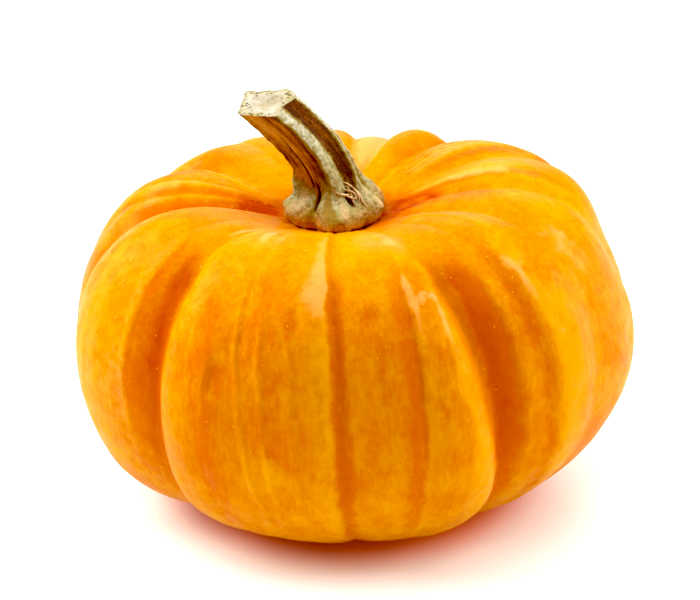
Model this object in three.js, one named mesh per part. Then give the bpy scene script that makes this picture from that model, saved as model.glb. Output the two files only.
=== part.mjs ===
// A small ribbed pumpkin, as picked: one fruit and the cut stem that stands in its top dimple.
// Millimetres, +Z up. The origin is on the resting plane, under the middle of the whole part.
// Azimuths are degrees seen from above, from 0 at -Y, the front, through 90 at +X, the right.
// Latitudes are degrees from -90 at the blossom end, through 0 at the widest level, to 90 at the stem.
import * as THREE from "three";

const { degToRad, lerp, smoothstep } = THREE.MathUtils;

// Fruit
const fruitSize = {
  radius: 45.3, // mean radius at the widest level, between grooves
  equator: 29.25, // height of the widest level above the resting plane
  topHeight: 32.2, // widest level to the top of the round form, before the dimple
  baseHeight: 30.8, // widest level to the foot of the round form
  topRoundness: 0.7, // 1 is an ellipse, less is fuller at the shoulders
  baseRoundness: 0.59,
  stemDimple: { depth: 12.8, spread: 20.5 },
  blossomDimple: { depth: 5, spread: 12 },
  oval: 0.07, // share by which left to right is wider, and front to back narrower
  ovalTurn: -2, // degrees
  heavySide: 0.023, // share by which the fruit is fuller towards heavyAzimuth
  heavyAzimuth: 103,
  lean: 0.054, // rise per millimetre to the right, and sideways shift per millimetre of height
  levelBand: 0.2, // share of the foot in which the lean dies out, so that the fruit stands level
};
const fruitCentre = { x: -1.7, y: 0.1 };

// Grooves and creases run from the stem to the blossom end. before and after are the widths of a
// groove's two banks in degrees, on the side of lower and of higher azimuth: the narrower bank is the
// steeper one. drift is how far it swings round, in degrees, between the widest level and the stem.
// pinch is its depth in the stem dimple, as a share of its depth on the side.
const grooves = [
  { azimuth: 0.5, depth: 1.9, before: 2.5, after: 6, drift: -1, pinch: 0.8 },
  { azimuth: 19.5, depth: 0.8, before: 5, after: 2, drift: -1, pinch: 0.3 },
  { azimuth: 36.5, depth: 5, before: 5, after: 11, drift: -6, pinch: 0.5 },
  { azimuth: 49, depth: 0.5, before: 4, after: 3, drift: -3, pinch: 1 },
  { azimuth: 64, depth: 1.4, before: 5, after: 8, drift: 4, pinch: 1.6 },
  { azimuth: 91, depth: 1.3, before: 5, after: 7, drift: -3, pinch: 1.5 },
  { azimuth: 111, depth: 1.3, before: 5, after: 5, drift: 0, pinch: 1 },
  { azimuth: 141, depth: 3.5, before: 8, after: 6, drift: 0, pinch: 1 },
  { azimuth: 158.5, depth: 3, before: 3.5, after: 8, drift: 0, pinch: 0.8 },
  { azimuth: 172.5, depth: 2.6, before: 8, after: 4, drift: 0, pinch: 0.8 },
  { azimuth: 194, depth: 2.8, before: 7, after: 7, drift: 0, pinch: 1 },
  { azimuth: 216, depth: 1, before: 6, after: 6, drift: 0, pinch: 0.6 },
  { azimuth: 239, depth: 2.6, before: 7, after: 6, drift: 0, pinch: 0.9 },
  { azimuth: 259, depth: 0.7, before: 4, after: 4, drift: 0, pinch: 1 },
  { azimuth: 276, depth: 3.8, before: 9, after: 5, drift: -6, pinch: 1.5 },
  { azimuth: 302, depth: 0.6, before: 5, after: 4, drift: -4, pinch: 0.6 },
  { azimuth: 312, depth: 4.8, before: 9, after: 4.5, drift: 0, pinch: 0.45 },
  { azimuth: 324.5, depth: 0.6, before: 4, after: 4, drift: -5, pinch: 0.5 },
  { azimuth: 336.5, depth: 0.4, before: 3, after: 3, drift: -1, pinch: 0.5 },
];
const grooveFloor = 0.18; // radius of a groove's floor, as a share of its width
const grooveFade = { top: 24, base: 8 }; // powers of the sine of latitude with which grooves run out
const pinchRange = { from: 0.7, to: 0.95 }; // sines of latitude between which pinch sets in
const footDepth = 0.5; // share of a groove's depth that is left towards the blossom end

// Low swellings and hollows of the lobes: place, height in millimetres, and spread in degrees each way.
const swellings = [
  { azimuth: 108, latitude: 40, height: 1.4, across: 15, along: 15 },
  { azimuth: 94, latitude: 22, height: -0.9, across: 12, along: 12 },
  { azimuth: 78, latitude: -8, height: 0.7, across: 12, along: 20 },
  { azimuth: 150, latitude: 55, height: 0.6, across: 10, along: 14 },
  { azimuth: 292, latitude: -40, height: 0.4, across: 14, along: 14 },
  { azimuth: 345, latitude: 28, height: 0.5, across: 12, along: 16 },
  { azimuth: 180, latitude: 40, height: -0.8, across: 26, along: 18 },
  { azimuth: 228, latitude: -6, height: 0.8, across: 12, along: 22 },
  { azimuth: 150, latitude: -12, height: 0.2, across: 12, along: 20 },
];

// Stem
const stemPath = {
  foot: { x: 0, z: 0 }, // from the middle of the stem's rim, the path's four Bezier points
  rise: { x: 0, z: 7.6 },
  bend: { x: -3.6, z: 12.4 },
  tip: { x: -12, z: 19.6 },
};
const stemSize = {
  core: 4.2, // radius in the flutes, at the foot
  taper: 0.6, // by which the core narrows towards the tip
  ridge: 1.5, // height of a ridge over the core
  ridgeWidth: 17, // degrees
  collar: 2.5, // extra radius where the stem spreads over the dimple
  collarLevel: 1.3, // height of the collar's widest ring above the rim
  collarHeight: 2.6, // from there to where it has run out
  tallSide: { azimuth: 106, spread: 34, rise: 1.2 }, // where the collar runs out higher, and by how much
  knobHeight: 2.1, // height of the ridges on the collar
  knobWidth: 21,
  stretch: 1.07, // left to right against front to back at the tip, because the sections lie level
  tipTilt: 7, // degrees by which the cut leans to the left
  tipNod: 9, // and to the front
  cutDish: 0.5, // depth of the hollow in the cut face
  dishRadius: 0.62, // share of the cut's radius at which its rim ends
};
// Ridges of the stem: azimuth at the foot, degrees by which each winds round up to the tip, and its
// height at the foot and at the tip, as a share of the heights above.
const stemRidges = [
  { azimuth: 6, winding: 20, atFoot: 1, atTip: 0.85 },
  { azimuth: 62, winding: 37, atFoot: 0.6, atTip: 1.05 },
  { azimuth: 104, winding: 28, atFoot: 0.7, atTip: 1.2 },
  { azimuth: 155, winding: 16, atFoot: 0.7, atTip: 0.3 },
  { azimuth: 204, winding: 8, atFoot: 1, atTip: 1.05 },
  { azimuth: 282, winding: 22, atFoot: 1.1, atTip: 0.65 },
  { azimuth: 348, winding: 0, atFoot: 0.3, atTip: 0.15 },
];
const rimHeight = 1.6; // of the stem's rim above the floor of the dimple
const joinGap = 0.35; // clear space between the stem's foot and the skin of the dimple

// Mesh
const fruitColumns = 132;
const fruitRows = 34;
const rowCrowding = 1.35; // above 1, rows lie closer together near the stem and the blossom end
const stemColumns = 60;
const stemRings = 22;

function wrapDegrees(angle) {
  return angle - 360 * Math.round(angle / 360);
}

// Depth of all grooves together at one place of the skin.
function grooveDepth(azimuth, latitude) {
  const sine = Math.sin(degToRad(latitude));
  const runOut = 1 - Math.abs(sine) ** (sine > 0 ? grooveFade.top : grooveFade.base);
  const fade = runOut * lerp(footDepth, 1, smoothstep(sine, -0.9, 0.1));
  const pinching = smoothstep(sine, pinchRange.from, pinchRange.to);
  let depth = 0;
  for (const groove of grooves) {
    const off = wrapDegrees(azimuth - groove.azimuth - groove.drift * sine);
    const width = off < 0 ? groove.before : groove.after;
    const floor = grooveFloor * width;
    const deep = groove.depth * lerp(1, groove.pinch, pinching);
    depth += deep * Math.exp(-(Math.hypot(off, floor) - floor) / width);
  }
  return depth * fade;
}

// The round form before it is grooved: distance from the axis and height, with the two end dimples.
function roundForm(latitude) {
  const { radius, topRoundness, baseRoundness, topHeight, baseHeight } = fruitSize;
  const sine = Math.sin(degToRad(latitude));
  const top = sine > 0;
  const cosine = Math.abs(Math.cos(degToRad(latitude)));
  const reach = radius * cosine ** (top ? topRoundness : baseRoundness);
  const { depth, spread } = top ? fruitSize.stemDimple : fruitSize.blossomDimple;
  const hollow = depth * (Math.exp(-((reach / spread) ** 2)) - Math.exp(-((radius / spread) ** 2)));
  const height = top ? sine * topHeight - hollow : sine * baseHeight + hollow;
  return new THREE.Vector2(reach, height);
}

function swellingHeight(azimuth, latitude) {
  let height = 0;
  for (const { azimuth: side, latitude: level, height: tall, across, along } of swellings) {
    const off = wrapDegrees(azimuth - side) / across;
    const up = (latitude - level) / along;
    height += tall * Math.exp(-(off ** 2) - up ** 2);
  }
  return height;
}

// A point of the skin: the round form, fuller to one side, moved along its own normal by the grooves
// and swellings, leaned, and flattened where it would sink into the resting plane.
function fruitPoint(azimuth, latitude) {
  const turn = degToRad(azimuth);
  const form = roundForm(latitude);
  const along = roundForm(latitude + 0.01).sub(roundForm(latitude - 0.01)).normalize();
  const swell =
    1 +
    fruitSize.heavySide * Math.cos(turn - degToRad(fruitSize.heavyAzimuth)) -
    fruitSize.oval * Math.cos(2 * (turn - degToRad(fruitSize.ovalTurn)));
  const cut = grooveDepth(azimuth, latitude) - swellingHeight(azimuth, latitude);
  const reach = form.x * swell - along.y * cut;
  const height = form.y + along.x * cut;
  const foot = (1 + Math.sin(degToRad(latitude))) / fruitSize.levelBand;
  const leanHere = fruitSize.lean * (1 - Math.exp(-(foot ** 2)));
  const side = reach * Math.sin(turn);
  return new THREE.Vector3(
    fruitCentre.x + side - fruitSize.lean * height,
    fruitCentre.y - reach * Math.cos(turn),
    Math.max(0, fruitSize.equator + height + leanHere * side),
  );
}

// A closed skin over rings of points, which run counter-clockwise seen from the last point's end.
function closedSkin(firstPoint, rings, lastPoint) {
  const columns = rings[0].length;
  const points = [firstPoint, ...rings.flat(), lastPoint];
  const last = points.length - 1;
  const faces = [];
  for (let column = 0; column < columns; column++) {
    const next = (column + 1) % columns;
    const topRing = 1 + (rings.length - 1) * columns;
    faces.push(0, 1 + next, 1 + column);
    faces.push(last, topRing + column, topRing + next);
    for (let ring = 1; ring < rings.length; ring++) {
      const below = 1 + (ring - 1) * columns;
      const above = below + columns;
      faces.push(below + column, below + next, above + next);
      faces.push(below + column, above + next, above + column);
    }
  }
  const geometry = new THREE.BufferGeometry().setFromPoints(points);
  geometry.setIndex(faces);
  geometry.computeVertexNormals();
  return geometry;
}

function ringOf(columns, pointAt) {
  return Array.from({ length: columns }, (_, column) => pointAt((360 * column) / columns));
}

function fruitGeometry() {
  const rings = [];
  for (let row = 1; row < fruitRows; row++) {
    const share = (2 * row) / fruitRows - 1;
    const latitude = 90 * Math.sign(share) * (1 - (1 - Math.abs(share)) ** rowCrowding);
    rings.push(ringOf(fruitColumns, (azimuth) => fruitPoint(azimuth, latitude)));
  }
  return closedSkin(fruitPoint(0, -90), rings, fruitPoint(0, 90));
}

// Distance from the stem's axis to its skin, at a share of the way from foot to tip. On the collar the
// ridges are higher and broader, as knobs.
function stemReach(azimuth, share, height) {
  const { tallSide, collarLevel, collarHeight, ridgeWidth, knobWidth, ridge, knobHeight } = stemSize;
  const fromTallSide = wrapDegrees(azimuth - tallSide.azimuth) / tallSide.spread;
  const runOut = collarHeight + tallSide.rise * Math.exp(-(fromTallSide ** 2));
  const level = (height - collarLevel) / runOut;
  const collar = level > 0 ? Math.exp(-(level ** 3)) : 1 - 0.5 * level ** 2;
  const width = lerp(ridgeWidth, knobWidth, collar);
  let ridges = 0;
  for (const { azimuth: crest, winding, atFoot, atTip } of stemRidges) {
    const off = wrapDegrees(azimuth - crest - winding * smoothstep(share, 0, 1)) / width;
    ridges += lerp(atFoot, atTip, share) * Math.exp(-(off ** 2));
  }
  const core = stemSize.core - stemSize.taper * share + stemSize.collar * collar;
  return core + lerp(ridge, knobHeight, collar) * ridges;
}

// Height of the skin in the dimple, at a distance from its floor.
function dimpleHeight(floor, azimuth, distance) {
  let outside = 45;
  let inside = 90;
  for (let step = 0; step < 24; step++) {
    const middle = (outside + inside) / 2;
    const point = fruitPoint(azimuth, middle);
    if (Math.hypot(point.x - floor.x, point.y - floor.y) > distance) outside = middle;
    else inside = middle;
  }
  return fruitPoint(azimuth, inside).z;
}

function stemGeometry(floor) {
  const inPlane = (point) => new THREE.Vector3(point.x, 0, point.z + rimHeight).add(floor);
  const path = new THREE.CubicBezierCurve3(
    inPlane(stemPath.foot),
    inPlane(stemPath.rise),
    inPlane(stemPath.bend),
    inPlane(stemPath.tip),
  );

  // A point at a share of the section's reach, in a section that tilts more towards the tip.
  function sectionPoint(azimuth, share, reachShare = 1, sink = 0) {
    const middle = path.getPoint(share);
    const reach = reachShare * stemReach(azimuth, share, middle.z - path.v0.z);
    const lying = smoothstep(share, 0.2, 1);
    const side = lerp(1, stemSize.stretch, lying) * reach * Math.sin(degToRad(azimuth));
    const back = -reach * Math.cos(degToRad(azimuth));
    const tilt = degToRad(stemSize.tipTilt) * lying;
    const nod = degToRad(stemSize.tipNod) * lying;
    const lift = side * Math.sin(tilt) + back * Math.sin(nod) - sink * Math.cos(tilt);
    return new THREE.Vector3(
      middle.x + side * Math.cos(tilt) + sink * Math.sin(tilt),
      middle.y + back * Math.cos(nod),
      middle.z + lift,
    );
  }

  // A point of the foot's edge, which follows the skin of the dimple.
  function footPoint(azimuth) {
    const point = sectionPoint(azimuth, 0);
    const distance = Math.hypot(point.x - floor.x, point.y - floor.y);
    return point.setZ(dimpleHeight(floor, azimuth, distance) + joinGap);
  }

  const rings = [ringOf(stemColumns, footPoint)];
  for (let ring = 1; ring <= stemRings; ring++) {
    const share = ring / stemRings;
    rings.push(ringOf(stemColumns, (azimuth) => sectionPoint(azimuth, share)));
  }
  const { dishRadius, cutDish } = stemSize;
  rings.push(ringOf(stemColumns, (azimuth) => sectionPoint(azimuth, 1, dishRadius)));
  rings.push(ringOf(stemColumns, (azimuth) => sectionPoint(azimuth, 1, dishRadius / 2, cutDish)));
  const underside = new THREE.Vector3(0, 0, joinGap).add(floor);
  return closedSkin(underside, rings, sectionPoint(0, 1, 0, cutDish));
}

function namedMesh(name, geometry, material) {
  const mesh = new THREE.Mesh(geometry, material);
  mesh.name = name;
  return mesh;
}

const skinMaterial = new THREE.MeshStandardMaterial({ color: "#f28c0a", roughness: 0.42, metalness: 0 });
const stemMaterial = new THREE.MeshStandardMaterial({ color: "#b59a55", roughness: 0.85, metalness: 0 });

const dimpleFloor = fruitPoint(0, 90);
const pumpkin = new THREE.Group();
pumpkin.add(namedMesh("fruit", fruitGeometry(), skinMaterial));
pumpkin.add(namedMesh("stem", stemGeometry(dimpleFloor), stemMaterial));

export default pumpkin;
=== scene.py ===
import math

import bpy
import numpy as np
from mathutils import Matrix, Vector


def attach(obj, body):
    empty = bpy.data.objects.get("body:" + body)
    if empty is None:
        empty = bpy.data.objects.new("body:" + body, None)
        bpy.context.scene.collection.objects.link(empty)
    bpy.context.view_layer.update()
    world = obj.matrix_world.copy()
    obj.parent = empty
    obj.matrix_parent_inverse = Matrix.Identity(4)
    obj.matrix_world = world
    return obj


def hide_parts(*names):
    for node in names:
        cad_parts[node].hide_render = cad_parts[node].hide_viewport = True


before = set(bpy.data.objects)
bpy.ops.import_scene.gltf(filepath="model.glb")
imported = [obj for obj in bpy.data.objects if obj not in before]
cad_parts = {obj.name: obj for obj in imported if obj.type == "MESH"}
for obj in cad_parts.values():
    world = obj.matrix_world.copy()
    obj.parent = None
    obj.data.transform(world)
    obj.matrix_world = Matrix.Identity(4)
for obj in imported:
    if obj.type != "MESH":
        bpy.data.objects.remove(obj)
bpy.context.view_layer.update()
metre = 0.001  # metres in a millimetre


# low plus the share of the way to high
def lerp(low, high, share):
    return low + (high - low) * share


# 0 below low and 1 above high, between them three times the share squared less twice its cube
def smoothstep(value, low, high):
    share = np.clip((value - low) / (high - low), 0, 1)
    return share * share * (3 - 2 * share)


# an angle less its nearest whole turns
def wrapDegrees(angle):
    return angle - 360 * np.round(angle / 360)


# smooth random values from -1 to 1: random numbers at the corners of a grid of cells, blended between
def softNoise(points, cell, seed):
    side = 32
    values = np.random.default_rng(seed).uniform(-1, 1, (side, side, side))
    grid = np.asarray(points) / cell
    low = np.floor(grid).astype(int)
    share = smoothstep(grid - low, 0, 1)
    total = 0
    for corner in np.ndindex(2, 2, 2):
        at = (low + corner) % side
        weight = np.prod(np.where(corner, share, 1 - share), axis=-1)
        total = total + weight * values[at[..., 0], at[..., 1], at[..., 2]]
    return total


# softNoise of several cells, each times its strength, added up
def noiseSum(points, layers):
    return sum(strength * softNoise(points, cell, seed) for cell, strength, seed in layers)


# a new object in the scene
def addObject(name, data):
    added = bpy.data.objects.new(name, data)
    bpy.context.scene.collection.objects.link(added)
    return added


# a closed mesh over a grid of points [ring, column]: rings run counter-clockwise seen from the last
# point, a fan of triangles closes each end, and each attribute gives one value per point of the grid
def makePiece(name, firstPoint, grid, lastPoint, attributes):
    rings, columns = grid.shape[:2]
    points = np.concatenate([[firstPoint], grid.reshape(-1, 3), [lastPoint]]) * metre
    column = np.arange(columns)
    after = (column + 1) % columns
    base = 1 + columns * np.arange(rings - 1)[:, None]
    quads = np.stack([base + column, base + after, base + columns + after, base + columns + column], -1)
    topRing = 1 + (rings - 1) * columns
    last = len(points) - 1
    bottomFan = np.stack([np.zeros(columns, int), 1 + after, 1 + column], -1)
    topFan = np.stack([np.full(columns, last), topRing + column, topRing + after], -1)
    mesh = bpy.data.meshes.new(name)
    faces = quads.reshape(-1, 4).tolist() + bottomFan.tolist() + topFan.tolist()
    mesh.from_pydata(points.tolist(), [], faces, shade_flat=False)
    for key, values in attributes.items():
        ends = np.concatenate([values[:1].mean(1, keepdims=True), values[-1:].mean(1, keepdims=True)])
        flat = np.concatenate([ends[0], values.reshape((-1,) + values.shape[2:]), ends[1]])
        kind, field = ("FLOAT", "value") if values.ndim == 2 else ("FLOAT_VECTOR", "vector")
        layer = mesh.attributes.new(key, kind, "POINT")
        layer.data.foreach_set(field, np.ascontiguousarray(flat, dtype=np.float32).ravel())
    mesh.update()
    return addObject(name, mesh)


fruit = {
    "radius": 45.3,  # mean radius at the widest level
    "equator": 29.25,  # height of the widest level
    "topHeight": 32.2,
    "baseHeight": 30.8,
    "topRoundness": 0.7,  # 1 is an ellipse, less is fuller at the shoulders
    "baseRoundness": 0.59,
    "stemDimple": (12.8, 20.5),  # depth and spread
    "blossomDimple": (5, 12),
    "oval": 0.07,  # share by which it is wider than deep
    "ovalTurn": -2,
    "heavySide": 0.023,  # share by which it is fuller towards heavyAzimuth
    "heavyAzimuth": 103,
    "lean": 0.054,  # sideways by this share of the height, to the left
    "levelBand": 0.2,  # 1 plus the sine of latitude at which the lean has come on
    "centre": (-1.7, 0.1),
    "columns": 612,
    "rows": 162,
    "rowCrowding": 1.35,  # more than 1 sets the rows closer at both ends
    # azimuth, depth, widths of the banks before and after it in degrees, drift towards the stem, and pinch,
    # the share of its depth that it has in the stem dimple
    "grooves": [
        (0.5, 1.9, 2.5, 6, -1, 0.8), (19.5, 0.8, 5, 2, -1, 0.3), (36.5, 5, 5, 11, -6, 0.5),
        (49, 0.5, 4, 3, -3, 1), (64, 1.4, 5, 8, 4, 1.6), (91, 1.3, 5, 7, -3, 1.5), (111, 1.3, 5, 5, 0, 1),
        (141, 3.5, 8, 6, 0, 1), (158.5, 3, 3.5, 8, 0, 0.8), (172.5, 2.6, 8, 4, 0, 0.8),
        (194, 2.8, 7, 7, 0, 1), (216, 1, 6, 6, 0, 0.6), (239, 2.6, 7, 6, 0, 0.9), (259, 0.7, 4, 4, 0, 1),
        (276, 3.8, 9, 5, -6, 1.5), (302, 0.6, 5, 4, -4, 0.6), (312, 4.8, 9, 4.5, 0, 0.45),
        (324.5, 0.6, 4, 4, -5, 0.5), (336.5, 0.4, 3, 3, -1, 0.5),
    ],
    "grooveFloor": 0.18,  # width of a groove's rounded floor, as a share of its bank's width
    "runOut": (24, 8),  # powers of the sine of latitude with which grooves run out above and below
    "pinchLevels": (0.7, 0.95),  # sines of the latitudes between which the pinch comes on
    "footDepth": 0.5,  # share of its depth that a groove keeps near the table
    "footLevels": (-0.9, 0.1),  # sines of the latitudes between which it gets its whole depth
    # swellings and hollows of the lobes: azimuth, latitude, height, spread across and along in degrees;
    # where a list below gives two spreads across, they lie before and after the azimuth
    "swellings": [
        (108, 40, 1.4, 15, 15), (94, 22, -0.9, 12, 12), (78, -8, 0.7, 12, 20), (150, 55, 0.6, 10, 14),
        (292, -40, 0.4, 14, 14), (345, 28, 0.5, 12, 16), (180, 40, -0.8, 26, 18), (228, -6, 0.8, 12, 22),
        (150, -12, 0.2, 12, 20),
    ],
    "lumps": ((13, 0.26, 5), (6, 0.1, 6), (2.4, 0.04, 7)),  # cell, height, seed
    "patches": ((12, 0.3, 31), (5, 0.22, 32), (2.2, 0.1, 33)),  # cell, change of tone, seed
    "waver": ((2.2, 0.6, 41),),  # cell, degrees across by which outlines waver, seed
    "ragged": ((3.5, 4, 42), (1.4, 2, 43)),  # cell, degrees along, seed
    "hem": (0.2, 1.7),  # distances from the stem between which its brown fringe runs out
    "crumbs": ((0.6, 0.35, 44),),  # cell, height, seed of the crumbs in the fringe
    "furrow": (0.45, -50),  # share of its depth that a groove keeps under the fruit, latitude it is taken at
    "furrowEnd": (4, 9),  # distances from the middle between which the furrows deepen
    "scarRadius": 4.2,
    "scarEdge": 0.6,
    "scarRim": 0.3,
    "scarOutline": ((1.6, 0.5, 45),),  # cell, millimetres by which the edge waves, seed
    "scarRelief": ((0.9, 0.25, 45),),
    "veins": 46,  # faint ridges from stem to blossom end
    "veinHeight": 0.07,
    # ranges of a vein's share of that height, widths before and after it, drift, and its two latitudes
    "veinRanges": ((-0.6, 1), (0.5, 2), (0.5, 2), (-3, 3), (-55, -10), (20, 70)),
    "markEdge": 1.5,  # 1 is a bell, more is flatter with steeper edges
    "bandEdge": 2,
    "fades": (12, 8),  # degrees on each side of a crease's beginning and end in which it comes and goes
    "deepGroove": 4,  # depth at which a groove is fully darkened, partly its own deeper orange and partly painted shade
    "paintedRidgeLight": 0.8,  # painted light on the ridges: how much yellower a millimetre of ridge is drawn; the next, how much painted highlight it gets
    "paintedRidgeHighlight": 0.5,
    "reliefEnd": 0.5,  # power of the cosine of latitude with which the relief runs out at the ends
    "inset": 0.22,  # keeps the relief within the plain form
    "softHold": 0.06,  # how gently the highest relief is held there
    "seed": 11,
    # fine ridges (height above 0) and creases: azimuth, height, widths before and after it, drift towards
    # the stem, and the latitudes where they begin and end
    "creases": [
        (358, 0.7, 3.5, 0.5, -1.2, -45, 76), (312.8, 0.25, 1, 5, -3.5, -40, 56),
        (324.8, 0.22, 3.5, 0.9, -3.9, -45, 48), (337.5, 0.32, 0.7, 0.8, -4, -35, 46),
        (342.5, 0.22, 0.6, 0.8, -2, -40, 38), (349.5, 0.18, 2, 0.6, -1, -30, 40),
        (7, -0.15, 2, 1, 0, -40, 46), (12, 0.16, 0.8, 1.6, 1, -40, 46), (19.4, 0.5, 0.6, 1.5, 1.8, -50, 54),
        (27.6, 0.25, 0.7, 0.8, -1, 14, 44), (36.6, 0.3, 4, 0.5, -2.5, -45, 56),
        (43.5, 0.25, 0.6, 2, -1.5, -20, 50), (52.5, 0.2, 2.2, 4, -2.2, -50, 52),
        (60, 0.18, 2.5, 0.6, -3, -40, 30), (69, 0.3, 1, 1, 1, 28, 54), (303.5, 0.4, 3.5, 0.6, -2, -40, 58),
        (290, 0.2, 2.4, 0.7, -2, -40, 50), (280, 0.16, 0.8, 2, -2, -20, 40),
        (56.5, 0.4, 1.4, 2.5, 0, 52, 82), (66, 0.5, 2.2, 1.6, 35, 50, 82), (74, 0.45, 1, 0.9, 54, 52, 82),
        (77.5, 0.3, 0.8, 1, 54, 52, 80), (98, 0.45, 0.8, 3, 3, 55, 80), (120.5, 0.4, 0.8, 3, 0, 50, 80),
        (155, 0.4, 1, 2, 2, 55, 80), (117, 0.25, 0.7, 2.2, -1, -45, 46), (133, 0.2, 2.2, 0.8, 1, -40, 46),
        (147, 0.28, 0.7, 2, 1, -45, 48), (166, 0.2, 2, 0.8, 0, -40, 46),
        (178.5, 0.28, 0.7, 1.4, 1, -45, 48), (188, 0.2, 2.4, 0.7, 2, -45, 46),
        (201, 0.24, 0.8, 2, -1, -40, 48), (211, 0.2, 2, 0.7, 0, -40, 46),
        (223, 0.26, 0.7, 2.2, -1, -45, 48), (233, 0.22, 2, 0.8, 1, -45, 46),
        (247, 0.24, 0.8, 2, 1, -45, 46), (196, 0.5, 0.9, 1.4, 52, 50, 83), (255, 0.55, 0.8, 1.5, 0, 50, 83),
        (262, 0.5, 0.8, 1.5, 0, 50, 80), (269, 0.3, 0.8, 1.5, 0, 50, 74),
    ],
    # bands of another tone beside the grooves, laid out like the creases: the second number is the tone; the
    # dark ones along the grooves are partly painted shade, the light ones on rims and crests partly painted
    # light
    "bands": [
        (359.8, -1, 2, 2.2, -0.3, -45, 48), (39.8, -1.15, 2.9, 3.2, -2.2, -45, 52),
        (311.3, -1.5, 2, 1.7, -3.5, 6, 56), (311, -0.25, 3, 3, -3, -50, 0),
        (50.4, -0.45, 3, 1.1, -2.5, -45, 48), (305.7, -0.5, 2.2, 3, -2.5, 0, 55),
        (17.3, -0.7, 2.5, 1.6, 1, -45, 50), (32, 0.6, 3.5, 4, -2.5, -50, 54),
        (317.5, 0.15, 5, 5.4, -2, -55, 52), (327.5, -0.6, 2.2, 3, -1.5, -40, 42),
        (54, 0.65, 1.2, 4.5, -2.5, -45, 54), (66, 0.2, 2, 1.5, 35, 50, 80),
        (94.5, -0.8, 2.5, 1.2, 3, 50, 80), (117.3, -0.8, 3, 1.2, 0, 50, 76), (196, 0.4, 1, 1.5, 52, 50, 78),
        (255, 0.4, 1, 1.5, 0, 50, 76), (258.5, -0.7, 1.6, 1.6, 0, 50, 80), (266, -0.8, 2, 3, 0, 50, 80),
        (112, -0.8, 2.5, 2, 0, -45, 44), (142, -1.2, 3, 2.5, 0, -45, 50), (159.5, -0.9, 2, 3, 0, -45, 48),
        (172, -0.9, 3, 2, 0, -45, 48), (195, -1.1, 3, 3, 0, -45, 50), (216.5, -0.7, 2.5, 2.5, 0, -40, 50),
        (240, -1.1, 3, 2.5, 0, -45, 48), (126, 0.5, 5, 5, 0, -50, 50), (150, 0.5, 3, 3, 0, -50, 50),
        (183, 0.5, 4, 5, 0, -50, 50), (206, 0.5, 4, 3, 0, -50, 50), (228, 0.5, 5, 4, 0, -50, 50),
        (252, 0.4, 4, 5, 0, -50, 48),
    ],
    # dents, laid out like the swellings
    "dents": [
        (330.5, 18.5, -0.6, 1.6, 4.5, 5.5), (10, 37, -0.25, 2, 4, 3), (349, 37, -0.3, 1.5, 2, 5),
        (333, 70, -0.35, 2, 5), (54.5, 23, -0.25, 1.5, 2), (53.5, 41, -0.3, 1.2, 2), (78, 2, -0.3, 2.5, 3),
        (262, 10, -0.3, 5, 4, 6), (205, 18, -0.3, 5, 3, 4), (120, 2, -0.35, 4, 3, 6),
    ],
    # tones of the skin (above 0 is yellower, below a deeper orange), laid out like the swellings; the
    # darkest, in the stem's hollow and in the dents, are partly painted shade
    "toneMarks": [
        (266, 81, -2.2, 11, 10, 4), (256, 85, -1.5, 30, 3), (80, 85, -2.3, 34, 3.5),
        (345, 30, -0.4, 8, 7, 20), (330, -5, -0.2, 8, 10, 30), (341, -14, 0.8, 6, 5, 9),
        (12, 43, 0.35, 4, 5, 6), (237, 60, -0.9, 12, 10), (85, 71, -0.9, 8, 5), (92, 82, -1.4, 14, 4),
        (358, 20, 0.2, 8, 25), (331.5, 19, -0.8, 2, 4.5, 6), (348.5, 36.5, -0.8, 2, 1.6, 5),
        (9, 36, -0.45, 2, 4), (341, 44, -0.4, 2, 6), (6, 34, 0.3, 4, 8, 16), (293, 10, 0.5, 12, 8, 45),
        (70, 20, 0.1, 11, 20, 50), (90, -2, 0.5, 12, 25), (290, -20, 0.5, 9, 12, 18),
        (352, 66, 0.4, 40, 16), (318, 73, 0.9, 4, 4), (332.5, 73, -0.9, 2, 2.5), (345, -45, 0.3, 50, 22),
        (220, 40, 0.3, 30, 25), (100, 45, 0.2, 30, 25), (200, -10, -0.4, 30, 30), (130, -5, -0.3, 20, 30),
    ],
    # painted highlights, pale patches where the skin mirrors the lamps, laid out like the swellings
    "paintedHighlights": [
        (356.2, 62, 0.35, 3.5, 0.8, 9), (356.7, 48, 1.1, 6.2, 0.7, 8.5), (328.5, 69.5, 1.1, 3.2, 5),
        (337, 68, 0.6, 3, 2), (309.5, 75, 1, 1.3, 7), (71, 41, 0.5, 3.5, 8), (51, 46, 0.6, 1.6, 2, 4),
        (24, 71, 0.45, 6, 8, 3.5), (292, 32, 0.2, 10, 14), (14, 66.5, 0.5, 4, 1.2),
        (22, 67.5, 0.7, 3.5, 3.5), (20.2, 47, 1, 1, 1.3, 5), (21, 38, 0.8, 0.8, 1.2, 7),
        (24.3, 41.4, 1, 4, 1.4), (27.4, 40.5, 0.7, 1.6, 1.8), (26.3, 34.5, 0.5, 1.5, 3),
        (27.8, 34, 0.7, 0.8, 1, 9), (51.5, 38, 0.9, 0.9, 1.6, 8), (54.5, 41, 0.5, 2, 2.5),
        (54.5, 22.5, 0.5, 1.5, 2), (68.5, 50, 0.5, 2, 2), (72, 45.5, 0.6, 1.5, 3), (69, 39, 0.5, 1.5, 3),
        (69.5, 33, 0.4, 2, 1.5, 2.5), (60, 41, 0.3, 3, 4, 4), (163, 66, 1.3, 7, 8, 16),
        (163, 58, 0.3, 8, 8), (300, 6, 0.35, 5, 14), (126, 70, 0.4, 6, 8), (262, 54, 0.45, 6, 5, 6),
        (281, 18, 0.4, 6, 4, 40), (281, 52, 0.45, 5, 4, 10), (99, 67, 0.6, 3, 2, 10),
        (236, 55, 0.5, 4, 3, 6), (256, 60, 0.4, 5, 2, 8),
    ],
}


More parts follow.
